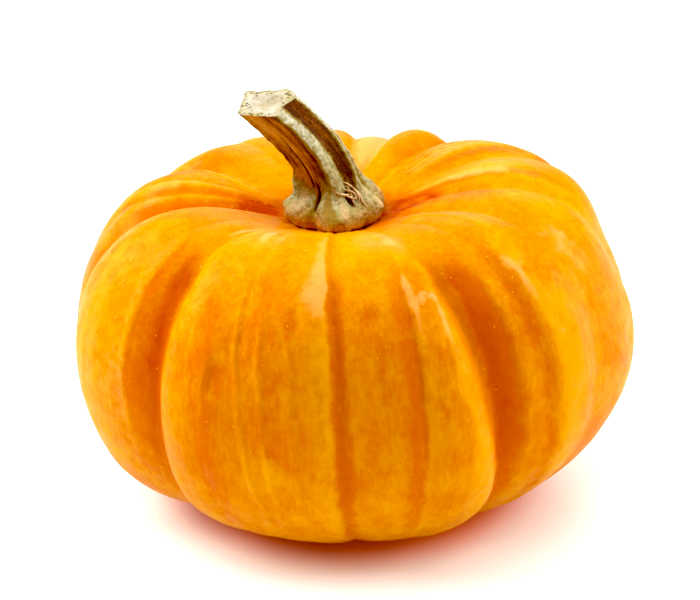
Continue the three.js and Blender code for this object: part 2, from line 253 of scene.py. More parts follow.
# depth of all grooves together: each falls off from its line by an exponential with a rounded floor,
# and all run out towards the two ends, deeper or shallower in the dimple
def grooveDepth(azimuth, latitude):
    sine = np.sin(np.radians(latitude))
    runOut = 1 - np.abs(sine) ** np.where(sine > 0, *fruit["runOut"])
    fade = runOut * lerp(fruit["footDepth"], 1, smoothstep(sine, *fruit["footLevels"]))
    pinching = smoothstep(sine, *fruit["pinchLevels"])
    depth = 0
    for line, deep, before, after, drift, pinch in fruit["grooves"]:
        off = wrapDegrees(azimuth - line - drift * sine)
        width = np.where(off < 0, before, after)
        floor = fruit["grooveFloor"] * width
        bell = np.exp(-(np.hypot(off, floor) - floor) / width)
        depth = depth + deep * lerp(1, pinch, pinching) * bell
    return depth * fade


# the ungrooved form: a superellipse above and below the widest level, less a bell-shaped dimple
def roundForm(latitude):
    sine = np.sin(np.radians(latitude))
    top = sine > 0
    cosine = np.abs(np.cos(np.radians(latitude)))
    reach = fruit["radius"] * cosine ** np.where(top, fruit["topRoundness"], fruit["baseRoundness"])
    (topDepth, topSpread), (baseDepth, baseSpread) = fruit["stemDimple"], fruit["blossomDimple"]
    depth = np.where(top, topDepth, baseDepth)
    spread = np.where(top, topSpread, baseSpread)
    hollow = depth * (np.exp(-((reach / spread) ** 2)) - np.exp(-((fruit["radius"] / spread) ** 2)))
    height = np.where(top, sine * fruit["topHeight"] - hollow, sine * fruit["baseHeight"] + hollow)
    return reach, height


# a point of the skin: the ungrooved form moved inwards along its own normal by cut, fuller to one
# side, leaned, and flattened where it would sink into the table
def fruitPoint(azimuth, latitude, cut):
    turn = np.radians(azimuth)
    reach, height = roundForm(latitude)
    # the direction along the meridian, from two points close by
    above, below = roundForm(latitude + 0.01), roundForm(latitude - 0.01)
    alongReach, alongHeight = above[0] - below[0], above[1] - below[1]
    length = np.hypot(alongReach, alongHeight) + 1e-12
    swell = 1 + fruit["heavySide"] * np.cos(turn - math.radians(fruit["heavyAzimuth"]))
    swell = swell - fruit["oval"] * np.cos(2 * (turn - math.radians(fruit["ovalTurn"])))
    reach = reach * swell - alongHeight / length * cut
    height = height + alongReach / length * cut
    foot = (1 + np.sin(np.radians(latitude))) / fruit["levelBand"]
    lean = fruit["lean"] * (1 - np.exp(-(foot**2)))
    side = reach * np.sin(turn)
    x = fruit["centre"][0] + side - fruit["lean"] * height
    y = fruit["centre"][1] - reach * np.cos(turn)
    z = np.maximum(0, fruit["equator"] + height + lean * side)
    return np.stack([x, y, z], -1)


# marks added up: the strength of each times an exponential of the square of its distance in spreads, to
# the power edge: 1 makes bells, more makes them flatter with steeper sides
def markSum(azimuth, latitude, marks, edge=fruit["markEdge"]):
    total = 0
    for side, level, strength, before, *after, along in marks:
        off = wrapDegrees(azimuth - side)
        width = np.where(off < 0, before, after[0]) if after else before
        square = (off / width) ** 2 + ((latitude - level) / along) ** 2
        total = total + strength * np.exp(-(square**edge))
    return total


# a point of the grooved form, without fine relief
def formPoint(azimuth, latitude):
    cut = grooveDepth(azimuth, latitude) - markSum(azimuth, latitude, fruit["swellings"], 1)
    return fruitPoint(azimuth, latitude, cut)


dimple = formPoint(np.array(0.0), np.array(90.0))  # the floor of the stem's hollow


# bells across each crease line, faded at its ends, with an edge above 1 for flatter and steeper ones
def creaseHeight(azimuth, latitude, lines, edge=1):
    sine = np.sin(np.radians(latitude))
    fadeIn, fadeOut = fruit["fades"]
    height = 0
    for line, tall, before, after, drift, low, high in lines:
        off = wrapDegrees(azimuth - line - drift * sine)
        off = off / np.where(off < 0, before, after)
        fade = smoothstep(latitude, low - fadeIn, low + fadeIn)
        fade = fade * (1 - smoothstep(latitude, high - fadeOut, high + fadeOut))
        height = height + tall * np.exp(-((off**2) ** edge)) * fade
    return height


# creases at even steps round the fruit, each moved by a random part of a step, and random otherwise
def randomVeins():
    draw = np.random.default_rng(fruit["seed"])
    lines = []
    for number in range(fruit["veins"]):
        line = (number + draw.uniform(0, 1)) * 360 / fruit["veins"]
        share, *others = [draw.uniform(low, high) for low, high in fruit["veinRanges"]]
        lines.append((line, fruit["veinHeight"] * share, *others))
    return lines


# the fruit: a grid of azimuths and latitudes, cut in by the grooves, less the swellings and fine relief
def makeFruit():
    share = np.linspace(-1, 1, fruit["rows"] + 1)[1:-1]
    latitude = 90 * np.sign(share) * (1 - (1 - np.abs(share)) ** fruit["rowCrowding"])
    azimuth = np.arange(fruit["columns"]) * 360 / fruit["columns"]
    latitude, azimuth = np.meshgrid(latitude, azimuth, indexing="ij")
    reach = roundForm(latitude)[0]
    groove = grooveDepth(azimuth, latitude)
    swellings = markSum(azimuth, latitude, fruit["swellings"], 1)
    form = fruitPoint(azimuth, latitude, groove - swellings)
    # the outlines of marks and creases waver
    waveAzimuth = azimuth + noiseSum(form, fruit["waver"])
    waveLatitude = latitude + noiseSum(form, fruit["ragged"])
    ridges = creaseHeight(waveAzimuth, waveLatitude, fruit["creases"])
    fine = markSum(waveAzimuth, latitude, fruit["dents"]) + ridges
    fine = fine + creaseHeight(azimuth, latitude, randomVeins()) + noiseSum(form, fruit["lumps"])
    fine = fine * np.cos(np.radians(latitude)) ** fruit["reliefEnd"]
    fromStem = reach - stemReach(azimuth, 0 * azimuth, 0)[0]
    hem = np.where(latitude > 0, 1 - smoothstep(fromStem, *fruit["hem"]), 0)
    fine = fine + noiseSum(form, fruit["crumbs"]) * hem
    # the grooves go on as furrows under the fruit, up to the blossom scar
    under = np.where(latitude < 0, reach, fruit["radius"])
    kept, keptFrom = fruit["furrow"]
    last = kept * grooveDepth(azimuth, np.maximum(latitude, keptFrom))
    furrow = np.maximum(0, last - groove) * smoothstep(under, *fruit["furrowEnd"]) * (latitude < 0)
    scar, edge = fruit["scarRadius"], fruit["scarEdge"]
    scarShare = 1 - smoothstep(under + noiseSum(form, fruit["scarOutline"]), scar - edge, scar + edge)
    fine = fine + fruit["scarRim"] * np.exp(-((under - scar) ** 2))
    fine = fine + noiseSum(form, fruit["scarRelief"]) * scarShare
    # softly held under the inset, within the plain form
    inset, hold = fruit["inset"], fruit["softHold"]
    fine = inset - np.logaddexp(0, (inset - fine) / hold) * hold
    cut = groove + furrow - swellings - fine + inset
    grid = fruitPoint(azimuth, latitude, cut)
    share = reach / fruit["radius"]
    turn = np.radians(azimuth)
    # tone: the tone marks, painted light on the ridges, the bands and random patches
    tone = markSum(waveAzimuth, waveLatitude, fruit["toneMarks"]) + fruit["paintedRidgeLight"] * ridges
    tone = tone + creaseHeight(waveAzimuth, waveLatitude, fruit["bands"], fruit["bandEdge"])
    tone = tone + noiseSum(form, fruit["patches"])
    # painted highlights: these marks, and the ridges' share below
    pale = markSum(waveAzimuth, waveLatitude, fruit["paintedHighlights"])
    attributes = {
        # groove: the depth that the skin darkens with, partly painted shade in the grooves
        "groove": groove / fruit["deepGroove"],
        "tone": tone,
        # painted highlight along the ridges is added here
        "pale": pale + fruit["paintedRidgeHighlight"] * ridges,
        "hem": hem,
        "latitude": latitude / 90,
        "scar": scarShare,
        "meridian": np.stack([share * np.sin(turn), share * np.cos(turn), latitude / 90], -1),
    }
    ends = [fruitPoint(np.array(0.0), np.array(end), 0.0) for end in (-90.0, 90.0)]
    piece = makePiece("fruit", ends[0], grid, ends[1], attributes)
    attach(piece, "root")
    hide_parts("fruit")
    return piece


stem = {
    "path": ((0, 0), (0, 7.6), (-3.6, 12.4), (-12, 19.6)),  # x and z of its four Bezier points
    "core": 4.2,  # radius under the ridges
    "taper": 0.6,  # loss of radius up to the tip
    "ridge": 1.5,
    "ridgeWidth": 17,  # degrees
    "collar": 2.5,  # gain of radius in the collar
    "collarLevel": 1.3,
    "collarHeight": 2.6,
    "tallSide": (106, 34, 1.2),  # azimuth and spread of the taller part of the collar, and its rise
    "knobHeight": 2.1,
    "knobWidth": 21,
    "stretch": 1.07,  # sideways, towards the tip
    "tipLean": (7, 9),  # degrees by which the cut leans to the left and to the front
    "tiltFrom": 0.2,  # share of the way up from which the sections lean
    "cutDish": 0.5,
    "dishEdge": (0.3, 0.72),  # shares of the cut's reach between which the dish runs out
    "cutGrain": ((0.9, 0.1, 27), (0.4, 0.07, 28)),
    "cutSink": 0.12,  # how far the grained cut lies under its edge
    "cutRim": 0.06,  # share of the cut's reach in which it sinks
    "inset": 0.1,  # keeps the relief within the plain form
    "rimHeight": 1.6,
    "footRings": 8,
    "footRise": 1.5,  # 1 is a straight foot, more keeps low at its edge
    "footTuck": 0.05,  # share by which the foot draws in under the knobs
    "footSink": 0.15,  # how far the foot's edge is pressed into the skin
    "footSpan": 0.6,  # height of the foot where the sections begin
    "halvings": 24,
    "floorGap": 0.35,  # between the dimple's floor and the middle of the stem's underside
    "columns": 240,
    "rings": 150,
    "cutRings": 26,
    "cork": ((1.1, 0.14, 21), (0.5, 0.09, 22)),  # cell, height, seed of the roughness of the ridges
    "corkLeft": 0.3,  # share of that roughness between them
    "knobs": ((2.4, 0.3, 23), (1.1, 0.22, 24), (0.55, 0.1, 29)),
    "corkLevels": (8.5, 3),  # heights between which the ridges get corky all round
    "fibreWinding": 24,
    "fibreStretch": (5, 0.12),  # scale of the strands' noise across and along them
    "strands": ((0.55, 0.07, 25), (0.3, 0.04, 26)),
    "seam": (316, 32, 4.5, 0.35),  # a crease up the lit face: azimuth at the foot, winding, spread, depth
    "seamStart": (4, 7),  # heights between which it deepens
    "seamEnd": (0.7, 0.97),  # shares of the way to the tip between which it runs out
    "seamShade": 1.5,
    "footEdge": 3.4,  # height up to which the foot's edge is tinged with orange
    "litFace": (312, 36),  # painted light: azimuth and spread of the face drawn paler brown, as lit from the left
    # slots and holes: azimuth, height, depth, spread across and along
    "slots": [
        (328, 5, 0.9, 4.5, 2.6), (32, 4.2, 0.9, 7, 1), (52, 5, 0.35, 5, 2.4), (180, 4, 0.6, 8, 2),
        (245, 3.5, 0.7, 8, 2.4),
    ],
    # lumps of the foot, laid out like the slots
    "footLumps": [
        (308, 1, 0.9, 15, 2.6), (288, 5.8, 1.2, 22, 2.1), (30, 1, 0.5, 9, 1.8), (352, 1.5, 0.3, 8, 2),
        (72, 4, 0.3, 9, 2.4), (225, 1, 0.6, 14, 2),
    ],
    # tones of the foot and the ridges' ends, laid out like the slots: above 0 is paler, below browner
    "footTones": [
        (303, 4, 0.7, 12, 2), (298, 2, 0.4, 10, 1), (318, 9, 0.5, 6, 4), (350, 6, -0.9, 8, 3),
        (344, 3.4, -0.5, 8, 1), (355, 2.6, -1.1, 9, 1.5), (322, 1.8, -0.5, 7, 1.2), (13, 3.2, 0.8, 7, 1.3),
        (11, 5.6, 0.4, 6, 1.5), (30, 2.4, -0.4, 6, 1), (52, 5.4, -1, 6, 2.8), (73, 4.4, 0.6, 9, 2.2),
        (70, 2.4, 0.4, 8, 1), (48, 2, -0.6, 8, 1.1),
    ],
    # azimuth at the foot, winding up to the tip, height at the foot and at the tip
    "ridges": [
        (6, 20, 1, 0.85), (62, 37, 0.6, 1.05), (104, 28, 0.7, 1.2), (155, 16, 0.7, 0.3), (204, 8, 1, 1.05),
        (282, 22, 1.1, 0.65), (348, 0, 0.3, 0.15),
    ],
    # corky bands along the ridges: azimuth at the foot, winding, spread, and how pale they are
    "corkBands": [
        (8, 34, 17, 1), (62, 44, 11, 0.85), (104, 28, 17, 0.8), (155, 16, 12, 0.6), (204, 8, 17, 0.7),
        (282, 22, 15, 0.3), (306, 0, 15, 0), (347, 0, 12, 0), (36, 0, 13, 0), (243, 0, 16, 0),
    ],
}


# a point of the stem's middle line, a cubic Bezier in the plane y = 0
def stemMiddle(share):
    weights = [(1 - share) ** 3, 3 * share * (1 - share) ** 2, 3 * share**2 * (1 - share), share**3]
    x = sum(weight * point[0] for weight, point in zip(weights, stem["path"]))
    z = sum(weight * point[1] for weight, point in zip(weights, stem["path"]))
    return x, z


# distance from the middle line to the skin: a tapering core, a collar, and bells for the ridges, and
# with it the shares of ridge, cork and collar
def stemReach(azimuth, share, height):
    side, spread, rise = stem["tallSide"]
    tall = stem["collarHeight"] + rise * np.exp(-((wrapDegrees(azimuth - side) / spread) ** 2))
    level = (height - stem["collarLevel"]) / tall
    collar = np.where(level > 0, np.exp(-(np.maximum(level, 0) ** 3)), 1 - 0.5 * level**2)
    width = lerp(stem["ridgeWidth"], stem["knobWidth"], collar)
    wound = smoothstep(share, 0, 1)
    ridges, cork = 0, 0
    for crest, winding, atFoot, atTip in stem["ridges"]:
        off = wrapDegrees(azimuth - crest - winding * wound) / width
        ridges = ridges + lerp(atFoot, atTip, share) * np.exp(-(off**2))
    for middle, winding, spread, pale in stem["corkBands"]:
        off = wrapDegrees(azimuth - middle - winding * wound) / lerp(spread, stem["knobWidth"], collar)
        paleHere = lerp(pale, 1, smoothstep(height, *stem["corkLevels"]))
        cork = cork + paleHere * np.exp(-(off**2))
    core = stem["core"] - stem["taper"] * share + stem["collar"] * collar
    return core + lerp(stem["ridge"], stem["knobHeight"], collar) * ridges, ridges, cork, collar


# a point at a share of the section's reach, moved in or out by relief, in a section that tilts more
# towards the tip
def sectionPoint(azimuth, share, relief=0, reachShare=1, sink=0):
    x, z = stemMiddle(share)
    turn = np.radians(azimuth)
    reach = reachShare * (stemReach(azimuth, share, z)[0] + relief)
    lying = smoothstep(share, stem["tiltFrom"], 1)
    side = lerp(1, stem["stretch"], lying) * reach * np.sin(turn)
    back = -reach * np.cos(turn)
    tilt, nod = [math.radians(angle) * lying for angle in stem["tipLean"]]
    lift = side * np.sin(tilt) - sink * np.cos(tilt) + back * np.sin(nod)
    x = dimple[0] + x + side * np.cos(tilt) + sink * np.sin(tilt)
    y = dimple[1] + back * np.cos(nod)
    z = dimple[2] + stem["rimHeight"] + z + lift
    return np.stack([x, y, z], -1)


# height of the skin in the dimple, at a distance from its floor, by halving the range of latitude
def dimpleHeight(azimuth, distance):
    outside, inside = np.full(azimuth.shape, 45.0), np.full(azimuth.shape, 90.0)
    for _ in range(stem["halvings"]):
        middle = (outside + inside) / 2
        point = formPoint(azimuth, middle)
        far = np.hypot(point[..., 0] - dimple[0], point[..., 1] - dimple[1]) > distance
        outside = np.where(far, middle, outside)
        inside = np.where(far, inside, middle)
    return formPoint(azimuth, inside)[..., 2]


# the stem, ring after ring: a foot that follows the dimple, sections along the middle line, the cut
def makeStem():
    azimuth = np.arange(stem["columns"]) * 360 / stem["columns"]
    share = np.linspace(0, 1, stem["rings"] + 1)[1:]
    shares, azimuths = np.meshgrid(share, azimuth, indexing="ij")
    plain = sectionPoint(azimuths, shares)
    height = stemMiddle(shares)[1]
    ridges, cork, collar = stemReach(azimuths, shares, height)[1:]
    crest = np.clip(ridges, 0, 1)
    relief = noiseSum(plain, stem["cork"]) * lerp(stem["corkLeft"], 1, crest)
    relief = relief + noiseSum(plain, stem["knobs"]) * collar
    wound = smoothstep(shares, 0, 1)
    turned = azimuths - stem["fibreWinding"] * wound
    twisted = np.radians(turned)
    across, along = stem["fibreStretch"]
    fibre = np.stack([across * np.sin(twisted), across * np.cos(twisted), along * height], -1)
    relief = relief + noiseSum(fibre, stem["strands"])
    line, winding, spread, deep = stem["seam"]
    seam = deep * np.exp(-((wrapDegrees(azimuths - line - winding * wound**3) / spread) ** 2))
    seam = seam * smoothstep(height, *stem["seamStart"]) * (1 - smoothstep(shares, *stem["seamEnd"]))
    slot = markSum(azimuths, height, stem["slots"])
    relief = relief + markSum(azimuths, height, stem["footLumps"]) - stem["inset"]
    side = sectionPoint(azimuths, shares, relief - slot - seam)

    # the foot: from its edge, which follows the skin of the dimple, out and up to the first section
    upper = sectionPoint(azimuth, 0 * azimuth, relief[0])
    foot = []
    for step in np.linspace(0, 1, stem["footRings"] + 1)[:-1]:
        drawnIn = 1 - stem["footTuck"] * (1 - step) ** 2
        ring = sectionPoint(azimuth, 0 * azimuth, relief[0], drawnIn)
        distance = np.hypot(ring[:, 0] - dimple[0], ring[:, 1] - dimple[1])
        bottom = dimpleHeight(azimuth, distance) - stem["footSink"]
        ring[:, 2] = lerp(bottom, np.maximum(upper[:, 2], bottom), step ** stem["footRise"])
        foot.append(ring)
    foot = np.array(foot)

    # the cut: from its edge inwards, grained all over and dished inside dishEdge
    inward = np.linspace(1, 0, stem["cutRings"] + 1)[1:-1]
    inwards, around = np.meshgrid(inward, azimuth, indexing="ij")
    ones = np.ones_like(inwards)
    flat = sectionPoint(around, ones, relief[-1], inwards)
    grain = noiseSum(flat, stem["cutGrain"])
    sink = stem["cutDish"] * (1 - smoothstep(inwards, *stem["dishEdge"])) - grain
    sink = (sink + stem["cutSink"]) * smoothstep(1 - inwards, 0, stem["cutRim"])
    cut = sectionPoint(around, ones, relief[-1], inwards, sink)

    grid = np.concatenate([foot, side, cut])
    feet = np.ones((stem["footRings"], 1))
    level = np.linspace(0, stem["footSpan"], stem["footRings"])[:, None] + 0 * azimuth

    # values for the foot, the side and the cut, one under the other
    def whole(values, cutValue, footValue=None):
        below = feet * values[:1] if footValue is None else footValue
        return np.concatenate([below, values, np.full_like(inwards, cutValue)])

    face, faceSpread = stem["litFace"]
    edge = 1 - smoothstep(stem["footSpan"] + height, 0, stem["footEdge"])
    fibreFoot = feet[..., None] * fibre[:1]
    fibreCut = np.stack([flat[..., 0], flat[..., 1], 0 * inwards], -1)
    attributes = {
        "cork": whole(cork, 0.6),
        "collar": whole(collar, 0),
        # slot: the slots' and the seam's depth, which the material darkens as painted shade
        "slot": whole(slot + stem["seamShade"] * seam, 0),
        "footTone": whole(markSum(azimuths, height, stem["footTones"]), 0),
        # painted light on the face towards litFace
        "paintedLitFace": whole(np.exp(-((wrapDegrees(turned - face) / faceSpread) ** 2)), 0),
        "cutFace": whole(0 * shares, 1),
        "cutEdge": whole(0 * shares, inwards),
        "footEdge": whole(edge, 0, 1 - smoothstep(level, 0, stem["footEdge"])),
        "fibre": np.concatenate([fibreFoot, fibre, fibreCut]),
    }
    first = dimple + np.array([0, 0, stem["floorGap"]])
    last = sectionPoint(np.array(0.0), np.array(1.0), 0, 0, stem["cutDish"])
    piece = makePiece("stem", first, grid, last, attributes)
    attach(piece, "root")
    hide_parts("stem")
    return piece


# dried fibres that curl over the hollow at the stem's foot
fibres = {
    "thickness": 0.17,  # radius in the middle, which tapers to endShare of it
    "endShare": 0.3,
    "taper": 0.7,  # less keeps the thickness for longer
    "point": 0.05,  # length of the pointed ends
    "rings": 30,
    "sides": 8,
    # points that each fibre runs through: azimuth, height, and lift from the stem's skin
    "paths": (
        ((34, 6.9, -0.3), (43, 6.6, 0.2), (50, 5.7, 0.4), (51, 4.6, 0.4), (44, 3.4, -0.3)),
        ((35, 6.4, -0.3), (40, 5.5, 0.4), (36, 4.4, 0.5), (38, 3.3, -0.3)),
        ((8, 6.2, -0.3), (17, 5.7, 0.3), (27, 5.3, 0.6), (37, 4.9, 0.3)),
        ((48, 5.9, -0.3), (54, 4.9, 0.3), (50, 3.9, 0.4), (53, 2.9, -0.3)),
        ((26, 6.4, -0.3), (33, 5.8, 0.5), (43, 5.3, 0.7), (46, 4.2, 0.3)),
        ((20, 5.2, -0.2), (30, 4.9, 0.6), (41, 4.3, 0.6), (45, 5.2, 0.2)),
    ),
}


# vectors divided by their lengths
def unit(vectors):
    return vectors / np.linalg.norm(vectors, axis=-1, keepdims=True)


# a tube along one path: a polynomial through its points, and rings around it at right angles
def makeFibre(name, path):
    steps = np.linspace(0, 1, 200)
    along = np.linspace(0, 1, fibres["rings"])
    knots = np.linspace(0, 1, len(path))
    azimuth, height, lift = [
        np.polyval(np.polyfit(knots, values, len(path) - 1), along) for values in zip(*path)
    ]
    share = np.interp(height, stemMiddle(steps)[1], steps)
    middle = sectionPoint(azimuth, share, lift)
    ahead = unit(np.gradient(middle, axis=0))
    side = unit(np.cross(ahead, [0.3, 0.2, 0.93]))  # a direction that no fibre takes
    other = np.cross(ahead, side)
    turn = np.arange(fibres["sides"]) * 2 * np.pi / fibres["sides"]
    radius = fibres["thickness"] * lerp(fibres["endShare"], 1, np.sin(np.pi * along) ** fibres["taper"])
    around = np.cos(turn)[:, None] * side[:, None] + np.sin(turn)[:, None] * other[:, None]
    grid = middle[:, None] + radius[:, None, None] * around
    point = fibres["point"]
    piece = makePiece(name, middle[0] - point * ahead[0], grid, middle[-1] + point * ahead[-1], {})
    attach(piece, "root")
    return piece


# a shader node, with its inputs linked to sockets or set to values; colours are linear red, green, blue
def addNode(tree, kind, inputs=None, **settings):
    node = tree.nodes.new(kind)
    for name, value in settings.items():
        setattr(node, name, value)
    for name, value in (inputs or {}).items():
        socket = node.inputs[name]
        if isinstance(value, bpy.types.NodeSocket):
            tree.links.new(value, socket)
        else:
            socket.default_value = (*value, 1) if socket.type == "RGBA" else value
    return node


# the value of a point attribute of the piece
def attribute(tree, name, output="Fac"):
    return addNode(tree, "ShaderNodeAttribute", attribute_name=name).outputs[output]


# one sum, difference, product, or first times second plus third
def combine(tree, operation, first, second, third=0):
    inputs = {0: first, 1: second, 2: third}
    return addNode(tree, "ShaderNodeMath", inputs, operation=operation).outputs[0]


# toLow below low, toHigh above high, smooth between
def rise(tree, value, low, high, toLow=0, toHigh=1):
    inputs = {"Value": value, "From Min": low, "From Max": high, "To Min": toLow, "To Max": toHigh}
    return addNode(tree, "ShaderNodeMapRange", inputs, interpolation_type="SMOOTHSTEP").outputs["Result"]


# a value plus noise that runs from -amount at low to amount at high
def ruffled(tree, value, noise, amount, low=0.25, high=0.75):
    return combine(tree, "ADD", value, rise(tree, noise, low, high, -amount, amount))


# first times one less share, plus second times share
def mixColour(tree, share, first, second):
    return addNode(tree, "ShaderNodeMix", {0: share, 6: first, 7: second}, data_type="RGBA").outputs[2]


# layers of share and colour mixed in one over the other, from a base colour up
def layered(tree, base, layers):
    for share, over in layers:
        base = mixColour(tree, share, base, over)
    return base


# a vector multiplied by scale, part by part
def stretched(tree, vector, scale):
    node = addNode(tree, "ShaderNodeVectorMath", {0: vector, 1: scale}, operation="MULTIPLY")
    return node.outputs[0]


# smooth noise about 0.5, with scale cells in each unit of the vector, or of each part of it
def noiseValue(tree, vector, scale, detail, roughness=0.55):
    if isinstance(scale, tuple):
        vector, scale = stretched(tree, vector, scale), 1
    inputs = {"Vector": vector, "Scale": scale, "Detail": detail, "Roughness": roughness}
    return addNode(tree, "ShaderNodeTexNoise", inputs).outputs["Fac"]


# the noises of these names in a look
def noises(tree, vector, look, names):
    return [noiseValue(tree, vector, *look[name]) for name in names.split()]


# a bump of strength and depth in metres, over the normal below it if there is one
def bumped(tree, height, strength, depth, below=None):
    inputs = {"Height": height, "Strength": strength, "Distance": depth}
    if below:
        inputs["Normal"] = below
    return addNode(tree, "ShaderNodeBump", inputs).outputs[0]


# an empty material, with its node tree and the place on the piece in metres
def newMaterial(name):
    material = bpy.data.materials.new(name)
    material.use_nodes = True
    tree = material.node_tree
    tree.nodes.clear()
    return material, tree, addNode(tree, "ShaderNodeTexCoord").outputs["Object"]


# the surface shader with these inputs, linked to the material's output
def addShader(tree, inputs):
    shader = addNode(tree, "ShaderNodeBsdfPrincipled", inputs)
    addNode(tree, "ShaderNodeOutputMaterial", {"Surface": shader.outputs[0]})


skinLook = {
    "orange": (0.535, 0.18, 0.0015),
    "yellow": (0.61, 0.27, 0.004),
    "deep": (0.49, 0.112, 0.001),
    # red: the stem's hollow and the darkest bands, partly the skin's own red, partly painted shade
    "red": (0.36, 0.03, 0.001),
    # groove: partly the skin's own deeper orange, partly painted shade in the grooves
    "groove": (0.42, 0.058, 0.001),
    # pale: the colour of the painted highlights
    "pale": (0.79, 0.345, 0.095),
    "speckle": (0.8, 0.42, 0.06),
    "hem": (0.44, 0.105, 0.008),
    "scar": (0.3, 0.17, 0.06),
    "scarDark": (0.11, 0.05, 0.016),
    "scarRim": (0.33, 0.2, 0.03),
    # cells of noise across, across and along the lobes, detail and roughness
    "dashes": ((62, 62, 20), 4, 0.6),
    "streaks": ((24, 24, 5), 4, 0.6),
    # cells of noise in a metre, detail and roughness
    "blotches": (170, 5, 0.62),
    "satin": (300, 4, 0.6),
    "mottle": (520, 4, 0.65),
    "pores": (1300, 4, 0.65),
    "dots": 700,  # cells in a metre
    "roughness": (0.44, 0.62),
    "swellBump": (0.45, 0.0004),  # strength, and depth in metres
    "poreBump": (0.5, 0.0001),
    "finish": {"IOR": 1.38, "Specular IOR Level": 0.25, "Specular Tint": (1, 0.75, 0.2)},
}


# skin: tone from the marks plus noise runs from red through orange to yellow, then the grooves' partly
# painted shade, painted highlights, dots, the fringe of the stem and the blossom scar are mixed in, one over
# the other
def makeSkinMaterial(look=skinLook):
    material, tree, place = newMaterial("pumpkinSkin")
    dashes, streaks = noises(tree, attribute(tree, "meridian", "Vector"), look, "dashes streaks")
    blotches, satin, mottle, fine = noises(tree, place, look, "blotches satin mottle pores")
    # blotches fade towards the stem
    spots = ruffled(tree, rise(tree, blotches, 0.3, 0.7, -0.26, 0.26), mottle, 0.24)
    fade = rise(tree, attribute(tree, "latitude"), 0.45, 0.7, 1, 0.35)
    tone = combine(tree, "MULTIPLY_ADD", spots, fade, attribute(tree, "tone"))
    tone = ruffled(tree, ruffled(tree, tone, dashes, 0.28), streaks, 0.26)
    # painted highlights, broken up by the mottle
    pale = ruffled(tree, attribute(tree, "pale"), mottle, 0.2)
    # about half of the cells have a dot
    cells = addNode(tree, "ShaderNodeTexVoronoi", {"Vector": place, "Scale": look["dots"]})
    chosen = addNode(tree, "ShaderNodeSeparateColor", {0: cells.outputs["Color"]}).outputs[0]
    dots = rise(tree, cells.outputs["Distance"], 0.05, 0.14, 1, 0)
    dots = combine(tree, "MULTIPLY", dots, rise(tree, chosen, 0.5, 0.7))
    fringe = combine(tree, "MULTIPLY", attribute(tree, "hem"), rise(tree, mottle, 0.35, 0.6, 0.3, 1))
    scar = combine(tree, "MULTIPLY", attribute(tree, "scar"), rise(tree, mottle, 0.25, 0.75, 0.7, 1.3))
    cork = mixColour(tree, rise(tree, mottle, 0.4, 0.6), look["scar"], look["scarDark"])
    layers = [
        (rise(tree, tone, 0.2, -1), look["deep"]),
        (rise(tree, tone, -0.2, 1.1), look["yellow"]),
        # red where the tone is lowest, partly painted shade
        (rise(tree, tone, -0.9, -2.6), look["red"]),
        # the grooves darkened, partly painted shade
        (rise(tree, attribute(tree, "groove"), 0.45, 1.2, 0, 0.55), look["groove"]),
        # painted highlights
        (rise(tree, pale, 0.15, 1.2, 0, 0.6), look["pale"]),
        (combine(tree, "MULTIPLY", dots, 0.6), look["speckle"]),
        (fringe, look["hem"]),
        (rise(tree, scar, 0.02, 0.25, 0, 0.6), look["scarRim"]),
        (rise(tree, scar, 0.4, 0.6), cork),
    ]
    base = layered(tree, look["orange"], layers)
    rough = rise(tree, satin, 0.3, 0.7, *look["roughness"])
    swells = bumped(tree, combine(tree, "MULTIPLY_ADD", dashes, 0.4, satin), *look["swellBump"])
    pores = bumped(tree, combine(tree, "ADD", fine, dots), *look["poreBump"], swells)
    addShader(tree, {"Base Color": base, "Roughness": rough, "Normal": pores, **look["finish"]})
    return material


stemLook = {
    # dark, brown and tan: the faces from the painted shade side to the painted lit side
    "dark": (0.07, 0.018, 0.003),
    "brown": (0.28, 0.088, 0.008),
    "tan": (0.54, 0.25, 0.045),
    "olive": (0.24, 0.165, 0.016),
    "cream": (0.44, 0.41, 0.21),
    "creamTop": (0.56, 0.54, 0.41),
    "creamDark": (0.22, 0.185, 0.055),
    "moss": (0.31, 0.25, 0.05),
    "collar": (0.45, 0.27, 0.085),
    "collarDark": (0.16, 0.085, 0.01),
    "collarPale": (0.52, 0.37, 0.17),
    "valley": (0.24, 0.115, 0.01),
    # painted shade in the slots and along the seam
    "slotShade": (0.055, 0.015, 0.003),
    "footEdge": (0.58, 0.22, 0.016),
    "cut": (0.46, 0.42, 0.32),
    "cutDark": (0.3, 0.25, 0.12),
    "pore": (0.09, 0.075, 0.02),
    # cells of noise, in a metre apart from the streaks along the strands, detail and roughness
    "streaks": (1.5, 4, 0.6),
    "stains": (330, 3, 0.6),
    "poreSpread": (500, 2),
    "blots": (620, 4, 0.7),
    "grain": (1500, 4, 0.75),
    "pores": 1500,  # cells in a metre
    "upper": (0.058, 0.068),  # heights in metres between which the stem gets paler
    "bump": (0.9, 0.0003),
    "finish": {"Roughness": 0.75, "Specular IOR Level": 0.25},
}
